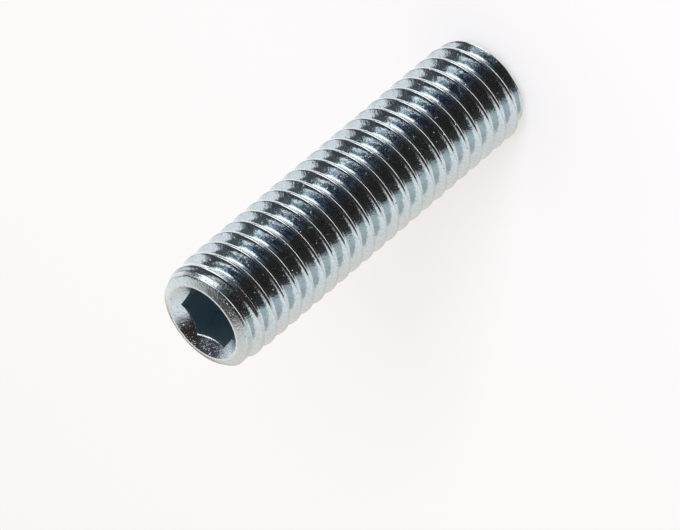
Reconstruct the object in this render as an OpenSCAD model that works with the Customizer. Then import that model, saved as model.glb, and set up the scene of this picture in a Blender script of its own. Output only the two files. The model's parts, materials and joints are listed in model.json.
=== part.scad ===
// Hexagon socket set screw (grub screw) with a flat point, M8 x 1.25, 30 mm nominal length.
// It stands on its point: the origin is the centre of the point face, and +Z runs along the
// axis to the socket end. All sizes are in millimetres and all angles in degrees.

/* [Length and thread] */
// Length from the point face to the socket face
screw_len = 29.5; // [16:0.1:60]
// Major diameter, over the thread crests
major_d = 7.85; // [6.5:0.01:9.6]
// Pitch, the axial distance from one turn to the next
pitch = 1.25; // [1:0.05:1.5]
// Included angle between the two flanks of a groove
flank_angle = 60; // [55:1:62]
// Width of the flat land on a crest, along the axis
crest_w = 0.18; // [0.12:0.01:0.3]
// Radius of the rounded root between two flanks
root_r = 0.18; // [0.1:0.01:0.2]
// Azimuth at which the crest line crosses the plane of the point face
thread_start = 140; // [0:1:359]

/* [Socket] */
// Hexagon size across the flats, the key size
hex_af = 4; // [3.2:0.05:4.8]
// Depth of the hexagon's flats below the socket face
hex_depth = 5; // [3:0.1:12]
// Included angle of the drill-shaped bottom below the hexagon
drill_angle = 120; // [90:1:150]
// Included angle of the countersink at the mouth
csk_angle = 100; // [80:1:120]
// Amount by which the countersink's mouth lies outside the hexagon's corners, on radius
csk_step = 0.57; // [0.3:0.01:0.7]

/* [Ends] */
// Width of the flat ring around the socket's mouth
rim_land = 0.1; // [0.05:0.01:0.15]
// Slope of the rim outside that ring, measured from the end face
rim_angle = 22; // [15:1:50]
// Diameter of the flat point face
point_d = 5.3; // [4:0.1:6]
// Slope of the point's chamfer, measured from the point face
point_angle = 35; // [30:1:60]
// Depth by which the crests fall short at the socket face, on radius
lead_drop = 0.42; // [0.1:0.01:0.7]
// Length over which the crests come up to full height from the socket face
lead_len = 1.7; // [1:0.05:2.5]
// Depth by which the crests fall short at the point face, on radius
point_lead_drop = 0.55; // [0.3:0.01:0.7]
// Length over which the crests come up to full height from the point face
point_lead_len = 1.45; // [1:0.05:2.5]
// Height of the first groove's floor over the full groove's floor, at the socket end
first_floor = 0.27; // [0.1:0.01:0.3]
// Length of the raised part of the first groove's floor, and as much again to fall away
first_len = 0.6; // [0.3:0.05:1]

/* [Facets] */
// Straight pieces in one turn of the thread
turn_steps = 24; // [18:2:30]
// Straight pieces across one rounded root
root_steps = 3; // [2:1:4]
// Straight pieces round each turned surface
round_steps = 96; // [48:12:120]

/* [Hidden] */

zinc = [0.76, 0.79, 0.82];
overlap = 1;                 // how far a cutting solid reaches past the surface it trims
tuck = 0.02;                 // how far a filling solid starts below the surface it blends into

major_r = major_d / 2;
half_flank = flank_angle / 2;
// Radius at which the two flanks of a groove would meet in a sharp V
apex_r = major_r - (pitch - crest_w) / 2 / tan(half_flank);
// Centre of the root's arc, and the angle from its lowest point to where it meets a flank
root_centre_r = apex_r + root_r / sin(half_flank);
root_sweep = 90 - half_flank;

hex_corner_r = hex_af / 2 / cos(30);
csk_r = hex_corner_r + csk_step;
rim_r = csk_r + rim_land;

// One pitch of the thread's section as [height above the crest's middle, radius]:
// the crest's two edges, then the rounded root of the groove above it.
section = concat(
    [[-crest_w / 2, major_r], [crest_w / 2, major_r]],
    [for (k = [0 : root_steps])
        let (a = -root_sweep + 2 * root_sweep * k / root_steps)
        [pitch / 2 + root_r * sin(a), root_centre_r - root_r * cos(a)]]
);

// Right-hand threaded rod, longer than the screw by at least a turn at either end.
// The section climbs one pitch a turn, so the last point of a section joins the first point
// of the section one turn on, and a fan from the axis closes each end.
module threaded_rod() {
    points_per = len(section);
    turns = ceil(screw_len / pitch) + 4;
    last = turns * turn_steps;
    bottom = -2 * pitch;

    function ring_point(i, j) =
        let (a = thread_start + 360 * i / turn_steps)
        [section[j][1] * cos(a), section[j][1] * sin(a),
         bottom + pitch * i / turn_steps + section[j][0]];
    // Index of point j of section i, where j may run on into the next turn
    function at(i, j) =
        j < points_per ? i * points_per + j : (i + turn_steps) * points_per + j - points_per;

    points = concat(
        [for (i = [0 : last], j = [0 : points_per - 1]) ring_point(i, j)],
        [[0, 0, bottom - pitch], [0, 0, bottom + pitch * (turns + 1)]]
    );
    low_axis = (last + 1) * points_per;
    high_axis = low_axis + 1;
    first_open = last - turn_steps;     // from here on, a section has no turn above it

    polyhedron(
        points = points,
        faces = concat(
            // Strips between neighbouring points of the section
            [for (i = [0 : last - 1], j = [0 : points_per - 2], f = [0, 1])
                f == 0 ? [at(i, j), at(i, j + 1), at(i + 1, j)]
                       : [at(i, j + 1), at(i + 1, j + 1), at(i + 1, j)]],
            // Strip that joins each turn to the one above it
            [for (i = [0 : first_open - 1], j = [points_per - 1], f = [0, 1])
                f == 0 ? [at(i, j), at(i, j + 1), at(i + 1, j)]
                       : [at(i, j + 1), at(i + 1, j + 1), at(i + 1, j)]],
            // Lower end: along the first turn's lower edge, then down the section's start
            [for (i = [0 : turn_steps - 1]) [low_axis, at(i, 0), at(i + 1, 0)]],
            [for (j = [0 : points_per - 1]) [low_axis, at(0, j + 1), at(0, j)]],
            // Upper end: along the last turn's upper edge, then up the section's end
            [for (i = [first_open : last - 1])
                [high_axis, at(i + 1, points_per - 1), at(i, points_per - 1)]],
            [for (j = [0 : points_per - 2]) [high_axis, at(last, j), at(last, j + 1)]],
            [[high_axis, at(first_open, points_per - 1), at(last, 0)]]
        )
    );
}

// Turned form of the whole screw before its socket: both end faces, the rim, the point's
// chamfer, and the slow taper over which the crests reach their full height.
module end_form() {
    intersection() {
        cylinder(h = screw_len, r1 = rim_r + screw_len / tan(rim_angle), r2 = rim_r,
                 $fn = round_steps);
        cylinder(h = screw_len, r1 = major_r - lead_drop + screw_len * lead_drop / lead_len,
                 r2 = major_r - lead_drop, $fn = round_steps);
        cylinder(h = screw_len, r1 = point_d / 2,
                 r2 = point_d / 2 + screw_len / tan(point_angle), $fn = round_steps);
        cylinder(h = screw_len, r1 = major_r - point_lead_drop,
                 r2 = major_r - point_lead_drop + screw_len * point_lead_drop / point_lead_len,
                 $fn = round_steps);
    }
}

// Core that partly fills the first groove, where the rolling dies run out at the socket end
module first_groove_core() {
    floor_r = root_centre_r - root_r;
    translate([0, 0, screw_len - first_len])
        cylinder(h = first_len, r = floor_r + first_floor, $fn = round_steps);
    translate([0, 0, screw_len - 2 * first_len])
        cylinder(h = first_len, r1 = floor_r - tuck, r2 = floor_r + first_floor,
                 $fn = round_steps);
}

// Hexagon with its countersunk mouth above and its drill-shaped bottom below
module socket() {
    csk_depth = csk_r / tan(csk_angle / 2);
    drill_depth = hex_af / 2 / tan(drill_angle / 2);
    translate([0, 0, screw_len - hex_depth])
        cylinder(h = hex_depth + overlap, r = hex_corner_r, $fn = 6);
    translate([0, 0, screw_len - csk_depth])
        cylinder(h = csk_depth + overlap, r1 = 0,
                 r2 = csk_r + overlap * tan(csk_angle / 2), $fn = round_steps);
    translate([0, 0, screw_len - hex_depth - drill_depth])
        cylinder(h = drill_depth, r1 = 0, r2 = hex_af / 2, $fn = round_steps);
}

module set_screw() {
    color(zinc)
        difference() {
            intersection() {
                union() {
                    threaded_rod();
                    first_groove_core();
                }
                end_form();
            }
            socket();
        }
}

set_screw();
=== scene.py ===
import json
import math

import bmesh
import bpy
import numpy as np
from mathutils import Matrix, Vector


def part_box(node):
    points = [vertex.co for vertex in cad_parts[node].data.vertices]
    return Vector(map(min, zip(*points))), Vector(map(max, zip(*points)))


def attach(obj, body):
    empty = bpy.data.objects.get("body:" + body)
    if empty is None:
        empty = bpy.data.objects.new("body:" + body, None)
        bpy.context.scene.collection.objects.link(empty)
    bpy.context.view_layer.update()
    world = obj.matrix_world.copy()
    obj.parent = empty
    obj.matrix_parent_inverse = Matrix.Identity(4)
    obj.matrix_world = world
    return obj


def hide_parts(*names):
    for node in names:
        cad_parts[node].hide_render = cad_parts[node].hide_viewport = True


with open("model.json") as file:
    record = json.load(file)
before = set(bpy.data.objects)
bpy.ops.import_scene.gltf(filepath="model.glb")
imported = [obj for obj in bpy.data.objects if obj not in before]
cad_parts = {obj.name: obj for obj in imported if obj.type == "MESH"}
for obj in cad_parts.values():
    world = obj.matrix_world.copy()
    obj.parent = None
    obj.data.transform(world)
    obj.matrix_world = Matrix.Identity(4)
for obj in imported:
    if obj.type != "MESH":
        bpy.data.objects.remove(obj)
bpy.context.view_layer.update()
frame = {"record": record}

# ---------------------------------------------------------------------------------------
# The camera looks down on the socket end from a little over half a metre, through a long
# lens, and is rolled so that the standing screw lies across the view from lower left to
# upper right.
view_azimuth = math.radians(22.5)
view_elevation = math.radians(32.2)
view_roll = math.radians(-130.615)
view_distance = 0.542
aim_right, aim_up = -0.00046, -0.00435      # where the camera aims, from the screw's middle

low, high = (Vector(corner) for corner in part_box("set_screw"))
screw_centre = (low + high) / 2
toward_camera = Vector((
    math.sin(view_azimuth) * math.cos(view_elevation),
    -math.cos(view_azimuth) * math.cos(view_elevation),
    math.sin(view_elevation),
))


def turned(backward):
    """The camera's rotation when it looks along -backward, with its roll."""
    return backward.to_track_quat("Z", "Y") @ Matrix.Rotation(view_roll, 3, "Z").to_quaternion()


camera = bpy.data.objects.new("camera", bpy.data.cameras.new("camera"))
camera.data.lens = 429.8
camera.data.clip_start = 0.01
camera.location = screw_centre + toward_camera * view_distance
aim = screw_centre + turned(toward_camera) @ Vector((aim_right, aim_up, 0))
camera.rotation_mode = "QUATERNION"
camera.rotation_quaternion = turned(camera.location - aim)
bpy.context.collection.objects.link(camera)
bpy.context.scene.camera = camera

# ---------------------------------------------------------------------------------------
# The thread: M8 x 1.25, right-hand, rolled into a steel blank between two ribbed dies. The
# steel is squeezed up into the dies' grooves and doesn't quite fill them, so the crests are
# left round, and the roots are smooth round valleys.
mm = 0.001
record = frame["record"]
thread = next(m for m in record["mounts"] if m["name"] == "thread")
screw_len = (high.z - low.z) / mm
major_r = thread["dims"]["r_mm"]
pitch = 1.25
half_flank = math.radians(30)
crest_w = 0.18
root_r = 0.18
shoulder_r = 0.12                       # rounding where the crest turns into a flank
flank_bulge = 0.005                     # height of the flanks' slight roundness
thread_start = math.radians(140)        # azimuth at which a crest leaves the point face
turn_steps = 72                         # straight pieces in one turn
arc_steps = 8                           # straight pieces round a shoulder or a root
flank_steps = 6                         # straight pieces down a flank

apex_r = major_r - (pitch - crest_w) / 2 / math.tan(half_flank)
root_centre_r = apex_r + root_r / math.sin(half_flank)
sweep = math.pi / 2 - half_flank        # turn of the surface from a crest to a flank


def crest_section():
    """Half of a crest, from its middle to the end of its rounded shoulder."""
    land = crest_w / 2 - shoulder_r * math.tan(sweep / 2)
    points = [(0.0, major_r)]
    for k in range(arc_steps + 1):
        a = sweep * k / arc_steps
        points.append((land + shoulder_r * math.sin(a), major_r - shoulder_r * (1 - math.cos(a))))
    return points


def thread_section():
    """One pitch, from the middle of a crest to just short of the middle of the next."""
    crest = crest_section()
    root = []
    for k in range(arc_steps + 1):
        a = -sweep + 2 * sweep * k / arc_steps
        root.append((pitch / 2 + root_r * math.sin(a), root_centre_r - root_r * math.cos(a)))
    (top_z, top_r), (foot_z, foot_r) = crest[-1], root[0]
    flank = []
    for k in range(1, flank_steps):
        bulge = flank_bulge * math.sin(math.pi * k / flank_steps)
        flank.append((
            top_z + (foot_z - top_z) * k / flank_steps + bulge * math.cos(half_flank),
            top_r + (foot_r - top_r) * k / flank_steps + bulge * math.sin(half_flank)))
    half = crest + flank
    mirrored = [(pitch - z, r) for z, r in reversed(half[1:])]
    return np.array(half + root + mirrored)


# ---------------------------------------------------------------------------------------
# The thread's two ends: the dies leave the crests low there, and the ends are chamfered. At
# the socket end the dies run out, so that the first groove ends in a ramp, and the point's
# chamfer is a little off the thread's centre.
hex_af = 4.0
hex_corner_r = hex_af / 2 / math.cos(math.radians(30))
csk_r = hex_corner_r + 0.57             # mouth of the countersink
rim_r = csk_r + 0.15                    # outside of the flat ring round the mouth
rim_slope = math.tan(math.radians(22))
point_r = 2.65
point_slope = math.tan(math.radians(35))
point_offset = 0.06                     # how far the point is off centre
point_toward = math.radians(-97)        # and the azimuth that it is off towards

first_crest_drop = 0.27                 # how low the first crest is left at its lowest
first_crest_depth = 0.5                 # how far below the socket face that is
first_crest_fade = 0.9                  # length over which the crests come up from there
last_crest_drop = 0.52                  # how low the crests are left at the point face
last_crest_rise = 0.55                  # how far they come up
last_crest_len = 1.45                   # over this length from the point face
ramp_start = 1.05                       # depth of the groove's middle where the ramp starts
ramp_len = 0.6                          # climb of the thread over which the ramp rises
ramp_rise = 0.8                         # how far it rises
ramp_r = 3.45                           # radius that the risen ramp has at the socket face
ramp_flare = 0.3                        # and gains with each millimetre below that face
crest_blend, rim_blend, ramp_blend = 0.035, 0.03, 0.05


def soft_min(a, b, width):
    """The lesser of a and b, blended over the given width."""
    t = np.clip(0.5 + (b - a) / (2 * width), 0, 1)
    return b * (1 - t) + a * t - width * t * (1 - t)


def crest_limit(crest_z):
    """The radius that the dies have raised a crest to by the time that it reaches crest_z."""
    from_lowest = np.abs(screw_len - crest_z - first_crest_depth)
    return major_r - first_crest_drop * np.exp(-from_lowest / first_crest_fade)


def run_out(z, groove_z):
    """The radius that a groove whose middle is at groove_z is filled up to at height z."""
    risen = np.clip((groove_z - screw_len + ramp_start) / ramp_len, 0, 1)
    ramp = ramp_r + ramp_flare * (screw_len - z) - ramp_rise * (1 - risen)
    return np.where(risen > 0, ramp, 0)


def point_end_limit(z, angle):
    """The radius that the chamfer and the low last turns leave at height z and azimuth angle."""
    chamfer = point_r + z / point_slope
    low_turns = major_r - last_crest_drop + z * last_crest_rise / last_crest_len
    return np.minimum(chamfer, low_turns) + point_offset * np.cos(angle - point_toward)


# The helix starts two turns below the point face and ends past the socket face
turns_below = 2
turns = math.ceil(screw_len / pitch) + turns_below + 1
section = thread_section()
rows = len(section)
columns = np.arange(turns * turn_steps + 1)
angle = thread_start + columns * 2 * math.pi / turn_steps
crest_z = (columns / turn_steps - turns_below) * pitch
height = crest_z[:, None] + section[None, :, 0]
groove_z = crest_z[:, None] + pitch / 2
nearest_crest_z = groove_z + np.where(section[:, 0] > pitch / 2, pitch / 2, -pitch / 2)
radius = np.broadcast_to(section[None, :, 1], height.shape)
radius = soft_min(radius, crest_limit(nearest_crest_z), crest_blend)
radius = -soft_min(-radius, -run_out(height, groove_z), ramp_blend)
radius = soft_min(radius, rim_r + (screw_len - height) / rim_slope, rim_blend)
radius = soft_min(radius, point_end_limit(height, angle[:, None]), crest_blend)

# Knocks from lying loose among others: (height, azimuth in degrees, depth, reach)
knocks = [(4.65, -56, 0.14, 0.24), (7.6, -20, 0.03, 0.18), (12.3, -73, 0.02, 0.15),
          (15.7, -75, 0.035, 0.16), (16.1, -22, 0.03, 0.2), (20.6, -56, 0.03, 0.15),
          (21.8, -67, 0.02, 0.14), (2.8, -105, 0.04, 0.25), (9.4, 60, 0.05, 0.25),
          (18.5, 150, 0.04, 0.2), (25.2, 20, 0.04, 0.2)]
for z, azimuth, depth, reach in knocks:
    apart = np.angle(np.exp(1j * (angle - math.radians(azimuth))))[:, None] * major_r
    radius = radius - depth * np.exp(-(apart ** 2 + (height - z) ** 2) / reach ** 2)

grid = np.stack([
    radius * np.cos(angle)[:, None], radius * np.sin(angle)[:, None], height], axis=-1)
faces = []
last = len(columns) - 1
for i in range(last):
    here, ahead, next_turn = i * rows, (i + 1) * rows, (i + turn_steps) * rows
    for j in range(rows - 1):
        faces.append((here + j, ahead + j, ahead + j + 1, here + j + 1))
    if i + turn_steps < last:
        faces.append((here + rows - 1, ahead + rows - 1, next_turn + rows, next_turn))
mesh = bpy.data.meshes.new("set_screw_body")
mesh.from_pydata((grid.reshape(-1, 3) * mm).tolist(), [], faces)

# The helix is cut off short of both end faces, and the turned ends go on from the cuts
top_cut = screw_len - 0.12
low_cut = 0.5
work = bmesh.new()
work.from_mesh(mesh)
for z_cut, normal in ((top_cut, (0, 0, 1)), (low_cut, (0, 0, -1))):
    bmesh.ops.bisect_plane(
        work, geom=work.verts[:] + work.edges[:] + work.faces[:], dist=1e-7,
        plane_co=(0, 0, z_cut * mm), plane_no=normal, clear_outer=True)

# ---------------------------------------------------------------------------------------
# The rim and the countersink, pressed into the sheared end of the blank. The rim slopes away
# outside a narrow flat ring, and the two edges of that ring are worn a little round.
csk_half = math.radians(50)
rim_depth = 0.08                        # how far down the turned part of the rim goes
cone_start = 0.2                        # width of the countersink's first band
worn_r = 0.03
round_steps = 192


def ring(radii, z):
    """A loop of vertices about the axis; radii and z may differ from one to the next."""
    radii = np.broadcast_to(radii, (round_steps,))
    z = np.broadcast_to(z, (round_steps,))
    a = np.arange(round_steps) * 2 * math.pi / round_steps
    return [
        work.verts.new((radii[k] * math.cos(a[k]) * mm, radii[k] * math.sin(a[k]) * mm, z[k] * mm))
        for k in range(round_steps)
    ]


def rounded(points, fillets, steps=4):
    """A section with each inner corner replaced by an arc of the given radius."""
    out = [Vector(points[0])]
    for before, corner, after, fillet in zip(points, points[1:], points[2:], fillets):
        corner = Vector(corner)
        to_before = (Vector(before) - corner).normalized()
        to_after = (Vector(after) - corner).normalized()
        half = to_before.angle(to_after) / 2
        back = fillet / math.tan(half)
        middle = corner + (to_before + to_after).normalized() * fillet / math.sin(half)
        start = corner + to_before * back - middle
        end = corner + to_after * back - middle
        for k in range(steps + 1):
            out.append(middle + start.lerp(end, k / steps).normalized() * fillet)
    out.append(Vector(points[-1]))
    return out


outline = rounded(
    [(rim_r + rim_depth / rim_slope, screw_len - rim_depth), (rim_r, screw_len),
     (csk_r, screw_len), (csk_r - cone_start, screw_len - cone_start / math.tan(csk_half))],
    [worn_r, worn_r])
loops = [ring(r, z) for r, z in outline]
cone_r, cone_z = outline[-1]

# ---------------------------------------------------------------------------------------
# The hexagon is pressed in with a broach, down to the cone that a drill has left. Its walls
# meet the countersink in six curved edges, which the broach leaves a little rounded.
hex_depth = 5.0
edge_r = 0.2                            # rounding of the six curved edges
edge_steps = 5
cone_shares = (0.3, 0.6, 0.8, 0.92)     # places of the loops down the countersink
wall_shares = (0.01, 0.05, 0.2, 0.4, 0.6, 0.8)      # and down the hexagon's walls
drill_r = hex_af / 2 - 0.02
drill_slope = math.tan(math.radians(60))
drill_steps = 6


def skin(loops):
    """Joins each loop to the next with a band of quads."""
    for low_loop, high_loop in zip(loops, loops[1:]):
        for k in range(round_steps):
            n = (k + 1) % round_steps
            work.faces.new((low_loop[k], low_loop[n], high_loop[n], high_loop[k]))


def close(loop, z):
    """Fills a loop with a fan from the axis at height z."""
    tip = work.verts.new((0, 0, z * mm))
    for k in range(round_steps):
        work.faces.new((loop[k], loop[(k + 1) % round_steps], tip))


facet = np.arange(round_steps) * 2 * math.pi / round_steps
flat_dirs = np.radians(30 + 60 * np.arange(6))
hex_reach = hex_af / 2 / np.cos(facet[:, None] - flat_dirs[None, :]).max(axis=1)
edge_z = screw_len - (csk_r - hex_reach) / math.tan(csk_half)
arc_z = edge_z - edge_r * math.tan(csk_half / 2)
arc_top_r = hex_reach + edge_r * (1 - math.cos(csk_half))
hex_bottom = screw_len - hex_depth
for share in cone_shares:
    r = cone_r + (arc_top_r - cone_r) * share
    loops.append(ring(r, cone_z - (cone_r - r) / math.tan(csk_half)))
for k in range(edge_steps + 1):
    a = csk_half * (1 - k / edge_steps)
    loops.append(ring(hex_reach + edge_r * (1 - math.cos(a)), arc_z + edge_r * math.sin(a)))
for share in wall_shares:
    loops.append(ring(hex_reach, arc_z + (hex_bottom - arc_z) * share))
loops.append(ring(hex_reach, hex_bottom))
loops.append(ring(drill_r, hex_bottom))
for k in range(1, drill_steps):
    r = drill_r * (1 - k / drill_steps)
    loops.append(ring(r, hex_bottom - (drill_r - r) / drill_slope))
skin(loops)
close(loops[-1], hex_bottom - drill_r / drill_slope)

# ---------------------------------------------------------------------------------------
# The point is turned flat. The lowest band of its chamfer is steeper than the rest, and the
# edge of the face is worn a little round. Its rings are centred on the axis.
chamfer_foot = 0.4                      # width and height of that lowest band
face_land = 0.3                         # width of the face's outermost band
point_worn_r = 0.06
face_rings = (2.0, 1.4, 0.8, 0.3)
point_outline = rounded(
    [(point_r + chamfer_foot, chamfer_foot), (point_r, 0), (point_r - face_land, 0)],
    [point_worn_r])
point_loops = [ring(r, z) for r, z in point_outline]
point_loops += [ring(r, 0) for r in face_rings]
skin(point_loops)
close(point_loops[-1], 0)

# ---------------------------------------------------------------------------------------
# The screw is one piece of steel: the turned ends join the thread without a seam, and the
# only sharp edges are those between the hexagon's flats and at its bottom.
sharp_turn = math.radians(25)
socket_reach = (hex_corner_r + 0.05) * mm
open_edges = [e for e in work.edges if len(e.link_faces) == 1]
top_edges = [e for e in open_edges if e.verts[0].co.z > screw_len * mm / 2]
low_edges = [e for e in open_edges if e.verts[0].co.z <= screw_len * mm / 2]
for group in (top_edges, low_edges):
    bmesh.ops.bridge_loops(work, edges=group)
bmesh.ops.recalc_face_normals(work, faces=work.faces[:])
for edge in work.edges:
    in_socket = max(v.co.xy.length for v in edge.verts) < socket_reach
    if in_socket and edge.calc_face_angle(0) > sharp_turn:
        edge.smooth = False
work.to_mesh(mesh)
work.free()
for polygon in mesh.polygons:
    polygon.use_smooth = True
screw = bpy.data.objects.new("set_screw_body", mesh)
bpy.context.collection.objects.link(screw)
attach(screw, "root")
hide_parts("set_screw")

# ---------------------------------------------------------------------------------------
# Bright zinc, plated on in a barrel: smooth on the rolled thread, with fine specks and pits,
# and rougher and a little stained at both ends, where the steel was only sheared and
# pressed. The countersink stays cleaner than the rim.
zinc = bpy.data.materials.new("bright_zinc")
zinc.use_nodes = True
nodes, links = zinc.node_tree.nodes, zinc.node_tree.links
shader = nodes["Principled BSDF"]
shader.inputs["Metallic"].default_value = 1
place = nodes.new("ShaderNodeTexCoord")
along = nodes.new("ShaderNodeSeparateXYZ")
links.new(place.outputs["Object"], along.inputs["Vector"])


def noise(scale, detail, roughness):
    """Noise with grains of about 1 / scale metres."""
    texture = nodes.new("ShaderNodeTexNoise")
    texture.inputs["Scale"].default_value = scale
    texture.inputs["Detail"].default_value = detail
    texture.inputs["Roughness"].default_value = roughness
    links.new(place.outputs["Object"], texture.inputs["Vector"])
    return texture.outputs["Fac"]


def between(value, low_in, high_in, low_out, high_out):
    """Maps a value smoothly from one range to another, and no further."""
    step = nodes.new("ShaderNodeMapRange")
    step.interpolation_type = "SMOOTHSTEP"
    for name, number in (("From Min", low_in), ("From Max", high_in),
                         ("To Min", low_out), ("To Max", high_out)):
        step.inputs[name].default_value = number
    links.new(value, step.inputs["Value"])
    return step.outputs["Result"]


def combine(operation, *values):
    """A math node over numbers or outputs."""
    node = nodes.new("ShaderNodeMath")
    node.operation = operation
    for socket, value in zip(node.inputs, values):
        if isinstance(value, (int, float)):
            socket.default_value = value
        else:
            links.new(value, socket)
    return node.outputs["Value"]


def blend(share, a, b):
    """A colour between a and b, which may be plain colours or outputs."""
    node = nodes.new("ShaderNodeMix")
    node.data_type = "RGBA"
    links.new(share, node.inputs["Factor"])
    for name, value in (("A", a), ("B", b)):
        if isinstance(value, tuple):
            node.inputs[name].default_value = (*value, 1)
        else:
            links.new(value, node.inputs[name])
    return node.outputs["Result"]


def pits(scale, share, radius):
    """Small round pits in a share of the cells, 0 at a pit's middle and 1 outside it."""
    texture = nodes.new("ShaderNodeTexVoronoi")
    texture.inputs["Scale"].default_value = scale
    links.new(place.outputs["Object"], texture.inputs["Vector"])
    pick = nodes.new("ShaderNodeSeparateColor")
    links.new(texture.outputs["Color"], pick.inputs["Color"])
    depth = between(texture.outputs["Distance"], 0, radius, 1, 0)
    chosen = combine("LESS_THAN", pick.outputs["Red"], share)
    return combine("SUBTRACT", 1, combine("MULTIPLY", depth, chosen))


# How far into the rougher ends a place lies: 1 at the socket end and 0.8 at the point
socket_end = between(along.outputs["Z"], (screw_len - 1.5) * mm, (screw_len - 0.5) * mm, 0, 1)
point_end = between(along.outputs["Z"], 0.3 * mm, 1.2 * mm, 0.8, 0)
end_share = combine("ADD", socket_end, point_end)


def rising(plain, more):
    """A value that is plain on the thread and rises by the given amount towards the ends."""
    return combine("ADD", combine("MULTIPLY", end_share, more), plain)


# Roughness: specks, thicker in some patches than in others, on a smooth ground
smooth_ground, speck_roughness, end_roughness = 0.06, 0.3, 0.03
patches = between(noise(1500, 3, 0.6), 0.4, 0.6, 0.3, 1)
specks = between(noise(8000, 3, 0.7), 0.52, 0.68, 0, 1)
speckled = combine("MULTIPLY", specks, patches)
roughness = combine("ADD", combine("MULTIPLY", speckled, speck_roughness), smooth_ground)
roughness = combine("ADD", roughness, combine("MULTIPLY", end_share, end_roughness))
links.new(roughness, shader.inputs["Roughness"])

# Colour: two tints of the plating's film, a duller mottle, and the stain on the ends
greenish, bluish = (0.585, 0.69, 0.7), (0.61, 0.67, 0.725)
dull_grey, stain_grey = (0.48, 0.53, 0.545), (0.545, 0.61, 0.62)
film = blend(between(noise(1300, 2, 0.5), 0.4, 0.6, 0, 1), greenish, bluish)
mottle = between(noise(7000, 3, 0.8), 0.44, 0.6, 0, 0.7)
squares = [combine("MULTIPLY", along.outputs[axis], along.outputs[axis]) for axis in "XY"]
off_axis = combine("SQRT", combine("ADD", *squares))
outside = between(off_axis, csk_r * mm, rim_r * mm, 0.25, 1)
stained = combine("MULTIPLY", outside, end_share)
stain = combine("MULTIPLY", between(noise(4000, 3, 0.7), 0.42, 0.6, 0.3, 1), stained)
surface = blend(stain, blend(mottle, film, dull_grey), stain_grey)
links.new(surface, shader.inputs["Base Color"])

# Relief, in micrometres: long waves, dents, a fine grain, and pits of two sizes
micrometre = 1e-6
wave_height, dent_height = 3.4, 11.5
waves = combine("MULTIPLY", noise(2500, 2, 0.5), wave_height)
dents = combine("MULTIPLY", combine("MULTIPLY", noise(5500, 2, 0.6), patches), dent_height)
grain = combine("MULTIPLY", noise(9000, 4, 0.8), rising(2, 6))
fine_pits = combine("MULTIPLY", pits(9000, 0.3, 0.45), rising(1.5, 12))
big_pits = combine("MULTIPLY", pits(3200, 0.15, 0.28), rising(22, 8))
unpitted = combine("ADD", combine("ADD", waves, dents), grain)
relief = nodes.new("ShaderNodeBump")
relief.inputs["Distance"].default_value = micrometre
links.new(combine("ADD", unpitted, combine("ADD", fine_pits, big_pits)), relief.inputs["Height"])
links.new(relief.outputs["Normal"], shader.inputs["Normal"])
mesh.materials.append(zinc)

# ---------------------------------------------------------------------------------------
# Inside the hexagon the plating is thin, dull and rough, because little current reaches the
# walls of a blind hole. Its darker, bluer colour is partly that thin plating and partly
# painted shade of the deep hole. The countersink above it is still bright.
dull_zinc_and_painted_shade = bpy.data.materials.new("socket_zinc_and_painted_shade")
dull_zinc_and_painted_shade.use_nodes = True
shader = dull_zinc_and_painted_shade.node_tree.nodes["Principled BSDF"]
# Darker and bluer than the zinc outside: partly thin plating, partly painted shade of the hole
shader.inputs["Base Color"].default_value = (0.46, 0.595, 0.66, 1)
shader.inputs["Metallic"].default_value = 1
shader.inputs["Roughness"].default_value = 0.4
mesh.materials.append(dull_zinc_and_painted_shade)
wall_reach = (hex_corner_r + 0.01) * mm
above_point = 1 * mm
below_cone = (screw_len - 1) * mm       # below this height, all of the inside is dull
most_upward = 0.1                       # and above it, only faces as upright as this are
for polygon in mesh.polygons:
    inside = polygon.center.xy.length < wall_reach and polygon.center.z > above_point
    if inside and (polygon.center.z < below_cone or polygon.normal.z < most_upward):
        polygon.material_index = 1

# ---------------------------------------------------------------------------------------
# The floor is a sheet of pale paper, which metal doesn't mirror. Half of what the camera sees
# of it is plain white, so that it keeps only a weak shadow of the screw.
paper_glow = 0.5
floor_mesh = bpy.data.meshes.new("floor")
floor_mesh.from_pydata([(-1, -1, 0), (1, -1, 0), (1, 1, 0), (-1, 1, 0)], [], [(0, 1, 2, 3)])
floor = bpy.data.objects.new("floor", floor_mesh)
bpy.context.collection.objects.link(floor)
floor.visible_glossy = False
paper = bpy.data.materials.new("floor_paper")
paper.use_nodes = True
nodes, links = paper.node_tree.nodes, paper.node_tree.links
shader = nodes["Principled BSDF"]
shader.inputs["Base Color"].default_value = (0.95, 0.94, 0.95, 1)
shader.inputs["Roughness"].default_value = 1
shader.inputs["Specular IOR Level"].default_value = 0
plain_paper = nodes.new("ShaderNodeEmission")
plain_paper.inputs["Color"].default_value = (0.99, 0.975, 0.98, 1)


def mixed(share, first, second):
    """A shader between two others."""
    node = nodes.new("ShaderNodeMixShader")
    links.new(share, node.inputs["Fac"])
    links.new(first, node.inputs[1])
    links.new(second, node.inputs[2])
    return node.outputs["Shader"]


rays = nodes.new("ShaderNodeLightPath")
glow = combine("MULTIPLY", rays.outputs["Is Camera Ray"], paper_glow)
glowing = mixed(glow, shader.outputs["BSDF"], plain_paper.outputs["Emission"])
links.new(glowing, nodes["Material Output"].inputs["Surface"])
floor_mesh.materials.append(paper)

# ---------------------------------------------------------------------------------------
# The studio is a tent of cloth in bands one above another, which only metal mirrors: black
# round the camera, a strip of light to the left of it, and white at the right and behind.
# The paper is lit by plain white, and the camera sees a pale wall.
world = bpy.data.worlds.new("studio")
bpy.context.scene.world = world
world.use_nodes = True
bpy.context.scene.view_settings.view_transform = "Standard"
nodes, links = world.node_tree.nodes, world.node_tree.links

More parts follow.
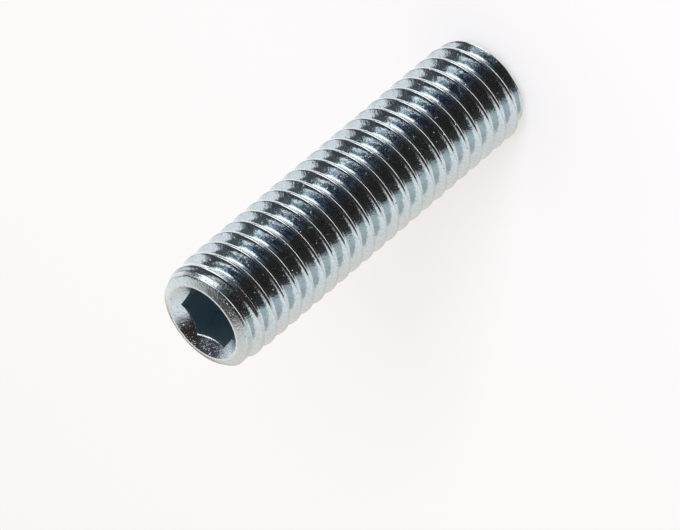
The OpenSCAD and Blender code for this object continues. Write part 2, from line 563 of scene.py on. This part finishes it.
place = nodes.new("ShaderNodeTexCoord")
direction = nodes.new("ShaderNodeSeparateXYZ")
links.new(place.outputs["Generated"], direction.inputs["Vector"])
azimuth = combine("ARCTAN2", direction.outputs["Y"], direction.outputs["X"])
turn = combine("SUBTRACT", view_azimuth - math.pi / 2, azimuth)
turn = combine("WRAP", turn, math.pi, -math.pi)
turn_place = combine("ADD", combine("DIVIDE", turn, 2 * math.pi), 0.5)


def cloth(stops):
    """One band of cloth: (turn to the right of the camera in degrees, colour) pairs."""
    ramp = nodes.new("ShaderNodeValToRGB")
    elements = ramp.color_ramp.elements
    elements.remove(elements[0])
    elements[0].position = 0
    for turn, colour in stops:
        stop = elements[0] if turn == -180 else elements.new((turn + 180) / 360)
        stop.color = (*colour, 1)
    links.new(turn_place, ramp.inputs["Fac"])
    return ramp.outputs["Color"]


def above(lift, soft, upper, lower):
    """The upper cloth above the given lift in degrees, and the lower one below it."""
    start = math.sin(math.radians(lift - soft))
    end = math.sin(math.radians(lift + soft))
    return blend(between(direction.outputs["Z"], start, end, 0, 1), lower, upper)


black = (0.042, 0.034, 0.031)
warm_black = (0.042, 0.023, 0.018)
soft_black = (0.05, 0.045, 0.045)
dark_grey = (0.08, 0.075, 0.075)
smoke = (0.07, 0.075, 0.085)
curtain = (0.15, 0.155, 0.17)
seam = (0.1, 0.07, 0.06)
seam_edge = (0.15, 0.11, 0.1)
plain_white = (0.95, 0.96, 0.97)
cool_white = (1.02, 1.04, 1.08)
bright_white = (1.08, 1.08, 1.08)
hazy_white = (1.1, 1.12, 1.14)
high_white = (1.15, 1.13, 1.1)
lit_white = (1.21, 1.16, 1.125)
low_white = (1.5, 1.45, 1.42)
cream = (1.0, 0.9, 0.84)
lamp = (2.0, 1.95, 1.95)
low_lamp = (2.1, 2.02, 1.98)

# What several bands share: the front, the strip of light and the back of the roof
dark_front = [(-5, black), (42, black), (54, (0.06, 0.06, 0.06)), (60, (0.3, 0.3, 0.3))]
dark_low = [(-5, black), (32, black), (44, (0.075, 0.06, 0.055)), (61.5, dark_grey),
            (66, (0.83, 0.81, 0.79))]
lamp_edge = [(-41, lamp), (-32, (0.4, 0.42, 0.48)), (-25, (0.2, 0.22, 0.26)),
             (-18, (0.12, 0.13, 0.15)), (-11, (0.08, 0.083, 0.09))]
softbox = [(-80, curtain), (-76, lamp)] + lamp_edge
roof_back = [(-180, (0.12, 0.11, 0.11)), (-145, (0.2, 0.18, 0.18)), (-120, (0.09, 0.085, 0.085)),
             (-60, warm_black), (60, warm_black)]

top = cloth([(-180, dark_grey), (-90, soft_black), (90, soft_black), (180, dark_grey)])
ridge = cloth(roof_back + [(70, (0.2, 0.18, 0.17)), (110, (0.22, 0.2, 0.19)),
                           (128, (0.06, 0.05, 0.05)), (180, (0.08, 0.07, 0.07))])
roof = cloth(roof_back + [(70, (0.6, 0.56, 0.54)), (116, (0.75, 0.7, 0.68)), (130, soft_black),
                          (180, (0.08, 0.07, 0.07))])
loft = cloth([(-180, (0.4, 0.38, 0.37)), (-148, (0.8, 0.79, 0.79)), (-136, (0.65, 0.65, 0.66)),
              (-126, smoke), (-22, (0.05, 0.05, 0.055)), (56, black), (69, (0.1, 0.1, 0.1)),
              (78, plain_white), (92, bright_white), (116, bright_white),
              (126, (1.0, 0.95, 0.92)), (140, (0.98, 0.89, 0.86)), (150, (0.85, 0.77, 0.73)),
              (180, (0.7, 0.63, 0.6))])
upper = cloth([(-180, lit_white), (-128, cool_white), (-122, smoke), (-84, smoke)]
              + softbox + dark_front
              + [(66, high_white), (88, high_white), (96, bright_white), (112, bright_white),
                 (126, (1.0, 0.97, 0.95)), (138, (0.99, 0.94, 0.91)), (152, (1.06, 0.94, 0.88)),
                 (180, (1.1, 0.98, 0.92))])
middle = cloth([(-180, lit_white), (-149, lit_white), (-144, (1.0, 1.0, 1.0)),
                (-137, (0.6, 0.61, 0.63)), (-120, (0.45, 0.46, 0.48)), (-112, curtain),
                (-86, curtain), (-81, lamp)]
               + lamp_edge + dark_front
               + [(70, plain_white), (92, bright_white), (112, (0.95, 0.95, 0.95)),
                  (126, (0.93, 0.87, 0.83)), (140, (0.95, 0.9, 0.87)), (155, (1.04, 0.92, 0.84)),
                  (180, (1.08, 0.96, 0.9))])
sides = cloth([(-180, seam), (-176, seam_edge), (-170, (0.9, 0.85, 0.83)), (-165, lit_white),
               (-150, lit_white), (-120, cool_white), (-112, curtain)]
              + softbox + dark_front
              + [(70, (0.92, 0.93, 0.93)), (87, (1.03, 1.04, 1.04)), (100, (0.83, 0.82, 0.79)),
                 (115, (0.8, 0.77, 0.73)), (130, (0.95, 0.86, 0.79)), (155, cream),
                 (168, (0.8, 0.7, 0.65)), (176, seam_edge), (180, seam)])
skirt = cloth([(-180, lit_white), (-125, lit_white), (-110, hazy_white), (-90.5, hazy_white),
               (-87.5, (0.17, 0.17, 0.19)), (-73, (0.14, 0.15, 0.18)), (-67, (0.28, 0.32, 0.37)),
               (-62, (0.48, 0.55, 0.65)), (-57, (0.25, 0.31, 0.4)), (-52, (0.08, 0.112, 0.175)),
               (-46, (0.05, 0.073, 0.12)), (-41, (0.032, 0.05, 0.088)),
               (-35, (0.025, 0.038, 0.074)), (-22, (0.029, 0.036, 0.057))]
              + dark_low
              + [(75, plain_white), (88, (1.0, 1.0, 0.99)), (105, (0.85, 0.82, 0.8)),
                 (130, (0.88, 0.79, 0.73)), (180, (0.88, 0.78, 0.72))])
below = cloth([(-180, lit_white), (-100, (1.34, 1.25, 1.22)), (-90, (1.8, 1.64, 1.58)),
               (-66, (1.6, 1.46, 1.41)), (-44, (1.16, 1.07, 1.04)), (-40, (0.82, 0.79, 0.79)),
               (-36, (0.4, 0.4, 0.43)), (-24, (0.2, 0.21, 0.23)), (-12, (0.1, 0.102, 0.11))]
              + dark_low
              + [(70, (0.85, 0.81, 0.8)), (105, (0.86, 0.8, 0.77)), (130, (0.88, 0.79, 0.73)),
                 (155, (0.88, 0.76, 0.7)), (180, (0.88, 0.76, 0.7))])
foot = cloth([(-180, low_white), (-95, low_white), (-80, (1.0, 0.98, 0.98)),
              (-50, (0.6, 0.6, 0.62)), (-42, (0.8, 0.79, 0.8)), (-34, low_lamp), (80, low_lamp),
              (110, low_white), (180, low_white)])

# The bands from the lowest up: (cloth, lift of its lower edge, softness of that edge)
tent_colour = foot
for band, lift, soft in ((below, -52, 8), (skirt, -32, 2), (sides, -14.5, 1.5), (middle, 3, 5),
                         (upper, 24, 5), (loft, 48, 6), (roof, 64, 4), (ridge, 71, 3),
                         (top, 76, 1)):
    tent_colour = above(lift, soft, band, tent_colour)
white = nodes["Background"]
white.inputs["Color"].default_value = (0.742, 0.714, 0.64, 1)
wall = nodes.new("ShaderNodeBackground")
wall.inputs["Color"].default_value = (0.96, 0.945, 0.935, 1)
tent = nodes.new("ShaderNodeBackground")
links.new(tent_colour, tent.inputs["Color"])
rays = nodes.new("ShaderNodeLightPath")
lit = mixed(rays.outputs["Is Diffuse Ray"], tent.outputs["Background"],
            white.outputs["Background"])
seen = mixed(rays.outputs["Is Camera Ray"], lit, wall.outputs["Background"])
links.new(seen, nodes["World Output"].inputs["Surface"])

# ---------------------------------------------------------------------------------------
# The front lamp is a round softbox above the camera and a little to its left. It lights the
# paper, on which it gives the screw's soft shadow, and isn't seen in metal.
lamp_turn, lamp_lift, lamp_distance = -14, 38, 0.5


def heading(turn, lift, distance):
    """A place seen from the screw: turn degrees to the right of the camera, lift degrees up."""
    a = view_azimuth - math.pi / 2 - math.radians(turn)
    e = math.radians(lift)
    return Vector((math.cos(a) * math.cos(e), math.sin(a) * math.cos(e), math.sin(e))) * distance


front_lamp = bpy.data.objects.new("front_lamp", bpy.data.lights.new("front_lamp", "AREA"))
front_lamp.data.shape = "DISK"
front_lamp.data.size = 0.2
front_lamp.data.color = (0.8, 0.83, 1)
front_lamp.data.energy = 1.46
front_lamp.location = screw_centre + heading(lamp_turn, lamp_lift, lamp_distance)
front_lamp.rotation_mode = "QUATERNION"
front_lamp.rotation_quaternion = heading(lamp_turn, lamp_lift, 1).to_track_quat("Z", "Y")
front_lamp.visible_glossy = False
bpy.context.collection.objects.link(front_lamp)
